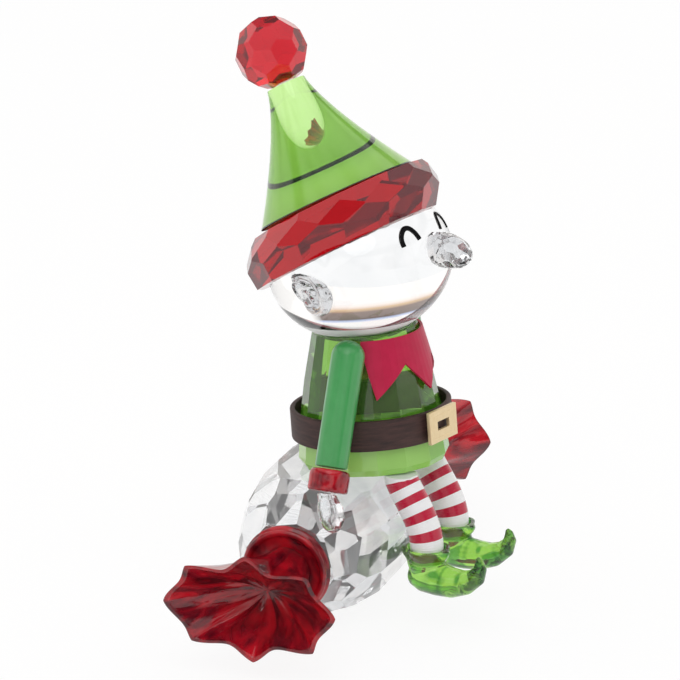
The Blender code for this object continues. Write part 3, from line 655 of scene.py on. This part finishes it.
pick()
bpy.ops.mesh.primitive_uv_sphere_add(segments=128, ring_count=80, radius=MM)
head = bpy.context.object
head.name = head.data.name = "head_crystal"
head.data.transform(Matrix.Diagonal((HEAD_RADIUS, HEAD_RADIUS, HEAD_HALF_HEIGHT, 1)))
placed(head, spot(*HEAD, tilt(HEAD_TILT)))
pick(head)
bpy.ops.object.mode_set(mode="EDIT")
bpy.ops.mesh.select_all(action="SELECT")
bpy.ops.mesh.bisect(
    plane_co=(BRIM - BRIM_UP * GLUE) * MM, plane_no=BRIM_UP, use_fill=True, clear_outer=True)
bpy.ops.object.mode_set(mode="OBJECT")
head_crystal = cut_crystal(
    "head_crystal", "FFFFFF", "F6F9FB",
    frosted=(BODY_UP, on_axis(HEAD_SEAT).dot(BODY_UP), "FCFDFF"))
add_painted_refraction_band(head_crystal)
settle(head, "head", head_crystal, 30)

# %% [markdown]
# ## Painted eyes
#
# Each closed eye is one stroke of matt black enamel, an upturned arc. A rod follows the head's
# surface, sunk so far into it that only a low ridge stands out.

# %% Eyes
EYE_RADIUS, EYE_SINK = 0.46, 0.28



def on_head(x, z, lift):
    """The point of the head's front at this x and height, lifted off by some millimetres."""
    into = tilt(HEAD_TILT).inverted()
    half = (HEAD_RADIUS, HEAD_RADIUS, HEAD_HALF_HEIGHT)
    low, high = HEAD.y - HEAD_RADIUS - 2, HEAD.y
    for _ in range(40):
        y = (low + high) / 2
        local = into @ (Vector((x, y, z)) - HEAD)
        r = Vector([value / size for value, size in zip(local, half)]).length
        low, high = (y, high) if r > 1 else (low, y)
    out = tilt(HEAD_TILT) @ Vector([value / size ** 2 for value, size in zip(local, half)])
    return Vector((x, y, z)) + out.normalized() * lift


RIGHT_EYE = ((-6.36, 65.65), (-6.3, 66.6), (-5.82, 67.5), (-4.85, 68.25), (-3.95, 68.25),
             (-3.35, 67.6), (-3.1, 67.0), (-2.92, 66.37))
LEFT_EYE = [(0.9 - x, z + 0.2) for x, z in RIGHT_EYE]
for side, strokes in (("right", RIGHT_EYE), ("left", LEFT_EYE)):
    line = smooth_line([tuple(on_head(x, z, -EYE_SINK)) for x, z in strokes], 6)
    settle(bent_rod(f"eye_{side}", line, EYE_RADIUS, 4), None, black_enamel, 60)

# %% [markdown]
# ## Hat
#
# The hat is a smooth cone with slightly hollow sides, turned and polished. Its section is drawn
# from the tip to the foot and spun with 160 steps. The glued foot is frosted, with a dark ring
# round its edge, and both are seen through the cone as curves.

# %% Hat cone
HAT_RADIUS, HAT_HEIGHT, HAT_TIP = 14.0, 20.9, 3.4
HAT_TILT = 30.2
HAT_BACK = 1.7
BRIM_HEIGHT = 9.3
DARK_RING_RADIUS = 13.25
FOOT_SKIN = 0.1


def add_dark_foot_ring(finish, foot, up):
    """The dark line round the edge of a glued foot."""
    tree = finish.node_tree
    from_foot = add_node(tree, "ShaderNodeVectorMath", {
        0: object_place(tree), 1: foot * MM}, operation="SUBTRACT").outputs[0]
    across = add_node(tree, "ShaderNodeVectorMath", {
        0: from_foot, 1: up}, operation="CROSS_PRODUCT").outputs[0]
    outer = calculate(
        tree, "GREATER_THAN", measure(tree, "LENGTH", across), DARK_RING_RADIUS * MM)
    under = calculate(
        tree, "LESS_THAN", measure(tree, "DOT_PRODUCT", from_foot, up), FOOT_SKIN * MM)
    tint_over(finish, calculate(tree, "MULTIPLY", outer, under), linear("243A38"))


hat_up = tilt(HAT_TILT) @ UP
set_back = Vector((0, HAT_BACK, BRIM_HEIGHT - math.tan(math.radians(BRIM_TILT)) * HAT_BACK))
clearance = GLUE + HAT_RADIUS * math.tan(math.radians(BRIM_TILT - HAT_TILT))
hat_foot = BRIM + set_back + hat_up * clearance
section = [(0.0, HAT_HEIGHT), (HAT_TIP * 0.5, HAT_HEIGHT)]
for step in range(25):
    share = 1 - step / 24
    section.append((HAT_TIP + (HAT_RADIUS - HAT_TIP) * (1 - share) ** 1.3, HAT_HEIGHT * share))
section += [(HAT_RADIUS * 0.5, 0.0), (0.0, 0.0)]
hat = turn_piece("hat_crystal", section, 160)
placed(hat, spot(*hat_foot, tilt(HAT_TILT)))
lime_crystal = cut_crystal(
    "lime_crystal", "DCFFB2", "CEFA9C", "90E050", 8,
    frosted=(hat_up, hat_foot.dot(hat_up) + FOOT_SKIN, "DEFFA0"))
add_dark_foot_ring(lime_crystal, hat_foot, hat_up)
settle(hat, "hat_cone", lime_crystal, 40)

# %% [markdown]
# ## Wrapper knots
#
# The knot at each end of the sweet is a pressed ruby ring: two rounded ridges outside and a
# dished face where the fan leaves it. Its half section has rounded turns, drawn with a smooth
# curve through a few points.

# %% Wrapper knots
KNOT_START = 26.5
SWEET = spot(0, 0, SWEET_Z, Matrix.Rotation(math.radians(SWEET_YAW), 3, "Z"))
ridges = smooth_line([
    (2.0, 1.5), (4.6, 1.5), (5.9, 1.95), (6.4, 2.6), (6.9, 2.8), (7.3, 2.55), (7.3, 2.1),
    (7.05, 1.75), (7.35, 1.5), (7.6, 1.2), (7.55, 0.8), (7.1, 0.4), (6.5, 0.0)], 5)
for side, end in SIDES:
    knot = turn_piece(f"knot_ring_{side}", [(0.0, 1.5)] + ridges + [(0.0, 0.0)], 96)
    outward = Matrix.Rotation(math.radians(90 * end), 3, "Y")
    placed(knot, SWEET @ spot(end * KNOT_START, 0, 0, outward))
    settle(knot, f"wrapper_knot_{side}", ring_glass, 50)

# %% [markdown]
# ## Wrapper fans
#
# Each fan is pressed crystal, pleated like twisted film: eight lobes that start as soft flutes at
# the neck and open to a scalloped rim with a thin rolled lip, and a hollow bowl inside. The sheet
# is laid from the neck out to the lip and back down into the bowl, with smaller creases between
# the lobes that deepen towards the neck.

# %% Wrapper fans
FAN_LENGTH, FAN_WIDE, FAN_HIGH, FAN_WALL, FAN_BOWL = 19.3, 14.7, 10.1, 0.85, 9.5
FAN_START = KNOT_START + 1.8
NECK = 4.2
CANT = math.radians(11.8)
OUTSIDE, LIP = 0.55, 0.05


def fan_point(angle, share):
    """A point of the fan: outside from the neck, over the lip, then down into the bowl."""
    if share < OUTSIDE:
        s = share / OUTSIDE
        flare = s ** 1.5
        wide = NECK + (FAN_WIDE - NECK) * flare
        high = NECK + (FAN_HIGH - NECK) * flare
        along, scallop = FAN_LENGTH * s, s
        crease = -0.6 * s * (1 - s) * (1 + math.sin(16 * angle + 3 * s + math.sin(3 * angle)))
    elif share < OUTSIDE + LIP:
        s = (share - OUTSIDE) / LIP
        inset = 0.5 * FAN_WALL * (1 - math.cos(math.pi * s))
        wide, high = FAN_WIDE - inset, FAN_HIGH - inset
        along, scallop = FAN_LENGTH + 0.12 * math.sin(math.pi * s), 1.0
        crease = 0.0
    else:
        s = (1 - share) / (1 - OUTSIDE - LIP)
        flare = max(s, 0.0) ** 0.85
        wide = (FAN_WIDE - FAN_WALL) * flare
        high = (FAN_HIGH - FAN_WALL) * flare
        along, scallop = FAN_LENGTH - FAN_BOWL * (1 - max(s, 0.0) ** 1.6), max(s, 0.0)
        crease = -1.5 * s * (1 - s) * (1 + math.sin(10 * angle + 4 * s + 1.6 * math.sin(3 * angle)))
    valley = (0.5 - 0.5 * math.cos(8 * angle)) ** 0.62
    reach = 1 - scallop * (0.076 + 0.19 * math.sin(angle) ** 2) * valley
    side = -(wide * reach + crease) * math.cos(angle)
    rise = (high * reach + crease) * math.sin(angle)
    lean = CANT * min(scallop, 1.0)
    return Vector((rise * math.cos(lean), side, along + rise * math.sin(lean)))


for side, end in SIDES:
    fan = wrap_sheet(f"pleated_fan_{side}", 256, 80, fan_point)
    outward = Matrix.Rotation(math.radians(90 * end), 3, "Y")
    upright = outward @ Matrix.Rotation(math.radians(180 if end > 0 else 0), 3, "Z")
    placed(fan, SWEET @ spot(end * FAN_START, 0, 0, upright))
    settle(fan, f"wrapper_fan_{side}", fan_glass, 50)

# %% [markdown]
# ## Belt and buckle
#
# The belt is a stiff hoop with softened edges, so it is turned from a small rounded rectangle.
# The buckle starts as a block: its front and back are inset to the slot and bridged into a hole,
# a shallow step is pressed round the slot, and the edges are bevelled.

# %% Belt
def tunic_radius(level):
    """Distance from the axis to the tunic's flats at a level."""
    tiers = ((12.5, 12.75), (21.0, 11.8), (27.0, 10.75), (35.8, 8.75))
    for (low, low_r), (high, high_r) in zip(tiers, tiers[1:]):
        if level <= high:
            return low_r + (high_r - low_r) * (level - low) / (high - low)
    return tiers[-1][1]


BELT_LOW, BELT_HIGH = 17.2, 22.4
BELT_IN = tunic_radius(BELT_LOW) / math.cos(math.pi / TUNIC_SIDES) + 0.4
BELT_OUT = BELT_IN + 0.9
strap_section = []
for corner_r, corner_h, rounding, start in (
        (BELT_OUT - 0.25, BELT_HIGH - 0.25, 0.25, 90),
        (BELT_OUT - 0.25, BELT_LOW + 0.25, 0.25, 0),
        (BELT_IN + 0.2, BELT_LOW + 0.2, 0.2, -90),
        (BELT_IN + 0.2, BELT_HIGH - 0.2, 0.2, -180)):
    for step in range(4):
        turned = math.radians(start - 30 * step)
        strap_section.append((
            corner_r + rounding * math.cos(turned), corner_h + rounding * math.sin(turned)))
belt = turn_piece("belt_strap", strap_section, 128, closed=True)
placed(belt, BODY)
settle(belt, "belt", brown_strap, 50)

# %% Buckle
BUCKLE_SIZE = (8.0, 0.7, 5.5)
SLOT_HALF = (1.75, 0.75)
pick()
bpy.ops.mesh.primitive_cube_add(size=MM)
buckle = bpy.context.object
buckle.name = buckle.data.name = "buckle_plate"
buckle.data.transform(Matrix.Diagonal((*BUCKLE_SIZE, 1)))
bpy.ops.object.mode_set(mode="EDIT")


def plate_middle(face, front=True, back=True):
    """Whether a face is the middle of the plate's front or back."""
    middle = face.calc_center_median()
    facing = (front and face.normal.y < -0.9) or (back and face.normal.y > 0.9)
    return facing and abs(middle.x) < 0.05 * MM and abs(middle.z) < 0.05 * MM


choose_faces(buckle, lambda face: plate_middle(face, back=False))
bpy.ops.mesh.inset(thickness=0.75 * MM)
bpy.ops.mesh.inset(thickness=0.1 * MM, depth=-0.08 * MM)
bpy.ops.mesh.inset(thickness=0.1 * MM, depth=0.08 * MM)
for front in (True, False):
    choose_faces(buckle, lambda face: plate_middle(face, front, not front))
    bpy.ops.mesh.inset(thickness=0.4 * MM)
    grid = bmesh.from_edit_mesh(buckle.data)
    for vertex in [v for v in grid.verts if v.select]:
        vertex.co.x = math.copysign(SLOT_HALF[0] * MM, vertex.co.x)
        vertex.co.z = math.copysign(SLOT_HALF[1] * MM, vertex.co.z)
    bmesh.update_edit_mesh(buckle.data)
print("slot faces bridged:", choose_faces(buckle, plate_middle))
bpy.ops.mesh.bridge_edge_loops()
bpy.ops.mesh.select_all(action="SELECT")
bpy.ops.mesh.normals_make_consistent(inside=False)
bpy.ops.object.mode_set(mode="OBJECT")
soften(buckle, 0.12)
buckle_out = BELT_OUT + GLUE + BUCKLE_SIZE[1] / 2
placed(buckle, BODY @ spot(0, -buckle_out, (BELT_LOW + BELT_HIGH) / 2))
settle(buckle, "buckle", pale_gold, 40)

# %% [markdown]
# ## Arms and cuffs
#
# Each arm is a lacquered rod with faint lengthwise flats and a domed shoulder, so it is turned
# with only 16 steps and its long edges are softened by a bevel. The cuff is a ruby ring, turned
# smooth with rounded rims.

# %% Where the arms lie
MIRROR_TURN = 12.0


def round_body(level, out, degrees, end):
    """A point out from the body's axis, turned from straight ahead; the left arm's is mirrored."""
    way = Vector((-math.sin(math.radians(degrees)), -math.cos(math.radians(degrees)), 0))
    if end > 0:
        way = Matrix.Rotation(math.radians(2 * MIRROR_TURN), 3, "Z") @ Vector((-way.x, way.y, 0))
    return on_axis(level) + way * out


ARM_RADIUS = 2.85
SHOULDER_LEVEL, SHOULDER_GAP, SHOULDER_TURN = 34.0, 0.73, 69.0
WRIST_LEVEL, WRIST_GAP, WRIST_TURN = 16.6, 2.87, 76.7
CUFF_RADIUS, CUFF_HEIGHT = 3.4, 3.8
arm_lines = {}
for side, end in SIDES:
    shoulder_out = tunic_radius(SHOULDER_LEVEL) + SHOULDER_GAP + ARM_RADIUS
    shoulder = round_body(SHOULDER_LEVEL, shoulder_out, SHOULDER_TURN, end)
    wrist = round_body(WRIST_LEVEL, BELT_OUT + WRIST_GAP + ARM_RADIUS, WRIST_TURN, end)
    arm_lines[side] = (shoulder, wrist, (shoulder - wrist).to_track_quat("Z", "Y").to_matrix())

# %% Arms and cuffs
for side, (shoulder, wrist, lay) in arm_lines.items():
    length = (shoulder - wrist).length
    dome = ARM_RADIUS * 0.95
    rod = [(0.0, length + dome)]
    for step in range(1, 9):
        angle = math.radians(90 - 11.25 * step)
        rod.append((ARM_RADIUS * math.cos(angle), length + dome * math.sin(angle)))
    rod += [(ARM_RADIUS * 0.97, 0.0), (0.0, 0.0)]
    arm = turn_piece(f"arm_rod_{side}", rod, 16)
    soften(arm, 0.3, turning=15)
    placed(arm, spot(*wrist, lay))
    settle(arm, f"arm_{side}", green_lacquer, 35)
    drum = smooth_line([
        (CUFF_RADIUS - 0.6, 0.0), (CUFF_RADIUS - 0.2, -0.25), (CUFF_RADIUS, -0.9),
        (CUFF_RADIUS, -2.0), (CUFF_RADIUS, -3.2), (CUFF_RADIUS - 0.12, -3.65),
        (CUFF_RADIUS - 0.5, -CUFF_HEIGHT)], 4)
    cuff = turn_piece(f"cuff_ring_{side}", [(0.0, 0.0)] + drum + [(0.0, -CUFF_HEIGHT)], 96)
    placed(cuff, spot(*(wrist - lay @ UP * GLUE), lay))
    settle(cuff, f"cuff_{side}", ring_glass, 40)

# %% [markdown]
# ## Carved crystals
#
# The hands, ears and shoes are carved and fire-polished, so every edge is soft. A copy of each CAD
# solid is merged, remeshed into an even skin and smoothed, which rounds it the way a polishing
# wheel does and leaves its size alone.

# %% Polishing a carved piece
def polish(node, name, voxel_mm, rounds):
    """A fine, softened copy of a CAD node."""
    pick()
    piece = nodes[node].copy()
    piece.data = nodes[node].data.copy()
    piece.name = piece.data.name = name
    piece.parent = None
    for key in list(piece.keys()):
        del piece[key]
    bpy.context.scene.collection.objects.link(piece)
    pick(piece)
    bpy.ops.object.mode_set(mode="EDIT")
    bpy.ops.mesh.select_all(action="SELECT")
    bpy.ops.mesh.remove_doubles(threshold=0.000002)
    bpy.ops.object.mode_set(mode="OBJECT")
    skin = piece.modifiers.new("skin", "REMESH")
    skin.mode = "VOXEL"
    skin.voxel_size = voxel_mm * MM
    bpy.ops.object.modifier_apply(modifier="skin")
    wheel = piece.modifiers.new("wheel", "SMOOTH")
    wheel.factor = 0.5
    wheel.iterations = rounds
    bpy.ops.object.modifier_apply(modifier="wheel")
    return piece


for side, end in SIDES:
    settle(polish(f"hand_{side}", f"hand_crystal_{side}", 0.16, 10), f"hand_{side}", clear_crystal)

# %% [markdown]
# The ear's folds are cut with a round wheel. One groove is an oval inside the rim, and a smaller
# oval lies within it. Each vertex on the outer face sinks by the depth of the groove that passes
# near it.

# %% Ears
for side, end in SIDES:
    ear = polish(f"ear_{side}", f"ear_crystal_{side}", 0.13, 5)
    hang = (Matrix.Rotation(math.radians(18 * end), 3, "Z")
            @ Matrix.Rotation(math.radians(20), 3, "X"))
    root = HEAD + Vector((end * (HEAD_RADIUS - 0.45), -0.6, -1.95))
    for vertex in ear.data.vertices:
        place = hang.inverted() @ (vertex.co / MM - root)
        if end * place.x < 0.4:
            continue
        ring = math.hypot(place.y / 5.15, (place.z - 0.3) / 3.3)
        lobe = math.hypot((place.y + 1.2) / 2.6, (place.z + 0.2) / 1.3)
        sink = (0.75 * math.exp(-((ring - 0.68) / 0.11) ** 2)
                + 0.6 * math.exp(-((lobe - 1.0) / 0.22) ** 2))
        vertex.co -= hang @ Vector((end * sink * min(1.0, end * place.x - 0.4), 0, 0)) * MM
    settle(ear, f"ear_{side}", carved_crystal)

# %% [markdown]
# The slippers' cuffs are pressed as folded cloth. Round each ankle the wall is pushed out into
# slanting folds, deepest at the rim, and drawn to a point at the front and at the heel.

# %% Slippers
SOLE_DROP = 7.8
CUFF_LEVEL, FOLD_HEIGHT = 4.3, 3.6
WALL_IN, WALL_OUT = 3.3, 4.6
for side, end, reach, rise in LEGS:
    shoe = polish(f"shoe_{side}", f"shoe_crystal_{side}", 0.2, 8)
    sole = Vector((end * LEG_X, BODY_Y - reach, SWEET_Z + rise - SOLE_DROP))
    for vertex in shoe.data.vertices:
        place = vertex.co / MM - sole
        out = math.hypot(place.x, place.y)
        high = min(max((place.z - CUFF_LEVEL) / FOLD_HEIGHT, 0.0), 1.0)
        if out < WALL_IN or high == 0.0 or out > WALL_OUT:
            continue
        angle = math.atan2(place.x, -place.y)
        fold = 0.32 * math.sin(5 * angle + 2.6 * high) + 0.55 * high * math.cos(angle) ** 6
        push = fold * high * min(1.0, (out - WALL_IN) / 0.4)
        vertex.co += Vector((place.x / out * push, place.y / out * push, 0)) * MM
    settle(shoe, f"shoe_{side}", shoe_crystal)

# %% [markdown]
# ## Striped legs
#
# The legs are bent rods with bands of lacquer. Each point of a rod stores how far up from the
# ankle it is, so that the stripes follow the bend. The bands repeat every 3.15 mm, a little more
# than half of that white, and fine lines 0.375 mm apart are pressed into them.

# %% Stripe finish
BAND, WHITE_SHARE, PRESSED_LINE = 3.15, 0.53, 0.375


def stripe_finish():
    """Red and white lacquer bands with fine pressed lines."""
    finish, tree, shader = new_finish(
        "banded_lacquer", Roughness=0.2, Coat_Weight=0.2, Coat_Roughness=0.05)
    up_leg = add_node(tree, "ShaderNodeAttribute", attribute_name="up_the_leg").outputs["Fac"]
    place = calculate(tree, "FRACT", calculate(tree, "MULTIPLY", up_leg, 1 / BAND))
    red = calculate(tree, "GREATER_THAN", place, WHITE_SHARE)
    tree.links.new(mix(tree, red, linear("FAFBFD"), linear("C20C38")), shader.inputs["Base Color"])
    wave = calculate(tree, "SINE", calculate(tree, "MULTIPLY", up_leg, math.tau / PRESSED_LINE))
    emboss(tree, shader, wave, 0.2, 0.05)
    return finish


banded_lacquer = stripe_finish()

# %% Legs
LEG_RADIUS, LEG_BEND = 2.85, 5.3
HEM_LEVEL = 12.2
BAND_START = 2.13
hem = on_axis(HEM_LEVEL)
for side, end, reach, rise in LEGS:
    ankle = Vector((end * LEG_X, BODY_Y - reach, SWEET_Z + rise))
    hip_y = ankle.y + LEG_BEND
    start = Vector((ankle.x, hip_y, hem.z - (hip_y - hem.y) * BODY_UP.y / BODY_UP.z))
    thigh = start - BODY_UP * 0.9
    path_points = [start, thigh]
    for step in range(1, 8):
        share = step / 8
        swing = math.sin(share * math.pi / 2) ** 1.15
        path_points.append(
            thigh + Vector((0, (ankle.y - thigh.y) * swing, (ankle.z - thigh.z) * share)))
    path_points += [ankle, ankle - Vector((0, 0, 2.2))]
    line = [Vector(p) for p in smooth_line([tuple(p) for p in path_points], 5)]
    leg = bent_rod(f"leg_rod_{side}", line, LEG_RADIUS, 14)
    bpy.ops.object.mode_set(mode="EDIT")
    bpy.ops.mesh.select_all(action="SELECT")
    bpy.ops.mesh.remove_doubles(threshold=0.000001)
    bpy.ops.mesh.normals_make_consistent(inside=False)
    bpy.ops.object.mode_set(mode="OBJECT")
    up_line = [0.0]
    for a, b in zip(line[::-1], line[::-1][1:]):
        up_line.append(up_line[-1] + (a - b).length)
    up_line = [value - BAND_START for value in up_line[::-1]]
    values = leg.data.attributes.new("up_the_leg", "FLOAT", "POINT")
    for vertex, value in zip(leg.data.vertices, values.data):
        point = vertex.co / MM
        best = min(range(len(line)), key=lambda i: (line[i] - point).length_squared)
        ahead = line[max(best - 1, 0)] - line[min(best + 1, len(line) - 1)]
        value.value = up_line[best] + (point - line[best]).dot(ahead.normalized())
    settle(leg, f"leg_{side}", banded_lacquer, 50)

# %% [markdown]
# ## Faceted pieces
#
# The sweet, tunic, brim, ball, nose and collar keep their CAD solids, because their look is in
# their exact planes. They only need the finish of their glass or lacquer. The tunic is deep green
# above the belt, while the skirt is lime opal glass that scatters the light. Each of the skirt's 16
# facets has a painted shade of its own, a random tone lighter or darker than its neighbour's, that
# stands in for the light each facet catches.

# %% Finishes for the CAD nodes that stay
SKIRT_TOP = 17.6
TUNIC_TURN = 3.5


def tunic_glass():
    """Deep green crystal above the belt, and opal lime glass in the skirt below it, with a painted
    shade on each of the skirt's facets.
    """
    finish, tree, shader = new_finish("green_and_opal_crystal", Roughness=0.0, IOR=CRYSTAL_IOR)
    place = object_place(tree)
    local = add_node(tree, "ShaderNodeMapping", {
        "Vector": place, "Location": (0, BODY_Y * MM, SWEET_Z * MM),
        "Rotation": (-math.radians(BODY_LEAN), 0, 0)}, vector_type="TEXTURE")
    axes = add_node(tree, "ShaderNodeSeparateXYZ", {0: local.outputs["Vector"]})
    angle = calculate(tree, "ARCTAN2", axes.outputs["Y"], axes.outputs["X"])
    facet = calculate(tree, "ROUND", calculate(
        tree, "MULTIPLY_ADD", angle, TUNIC_SIDES / math.tau,
        -math.radians(TUNIC_TURN) * TUNIC_SIDES / math.tau))
    # Painted facet shading: each skirt facet gets a random tone, lighter or darker, in place of the
    # light it catches.
    facet_shade_pick = add_node(tree, "ShaderNodeTexWhiteNoise", {"W": facet}, noise_dimensions="1D")
    painted_facet_shade = colour_ramp(tree, facet_shade_pick.outputs["Value"], (0.0, "7CCC34"), (1.0, "D0FF98"))
    cords = blotches(tree, place, CORD_MM * MM, Detail=1.0)
    deep_green = mix(tree, cords, linear("A8E064"), linear("8CC84C"))
    skirt = calculate(tree, "LESS_THAN", axes.outputs["Z"], SKIRT_TOP * MM)
    clear = calculate(tree, "MULTIPLY_ADD", skirt, -0.6, 0.88)
    tree.links.new(mix(tree, skirt, deep_green, painted_facet_shade), shader.inputs["Base Color"])
    tree.links.new(clear, shader.inputs["Transmission Weight"])
    absorb(tree, "70C048", 16.0)
    return finish


green_crystal = tunic_glass()
for node, finish in (
        ("candy_body", sweet_crystal), ("tunic", green_crystal), ("hat_brim", ruby_crystal),
        ("pom_ball", ruby_crystal), ("nose", carved_crystal), ("collar", red_lacquer)):
    nodes[node].data.materials.clear()
    nodes[node].data.materials.append(finish)

# %% [markdown]
# ## Finish
#
# The view transform is the plain one, so that a colour renders as it is written. The box of
# the dressed object is printed.

# %% Print the dressed object's size
bpy.context.scene.view_settings.view_transform = "Standard"
low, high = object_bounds()
print("visual box in mm:", [round(v / MM, 1) for v in high - low])
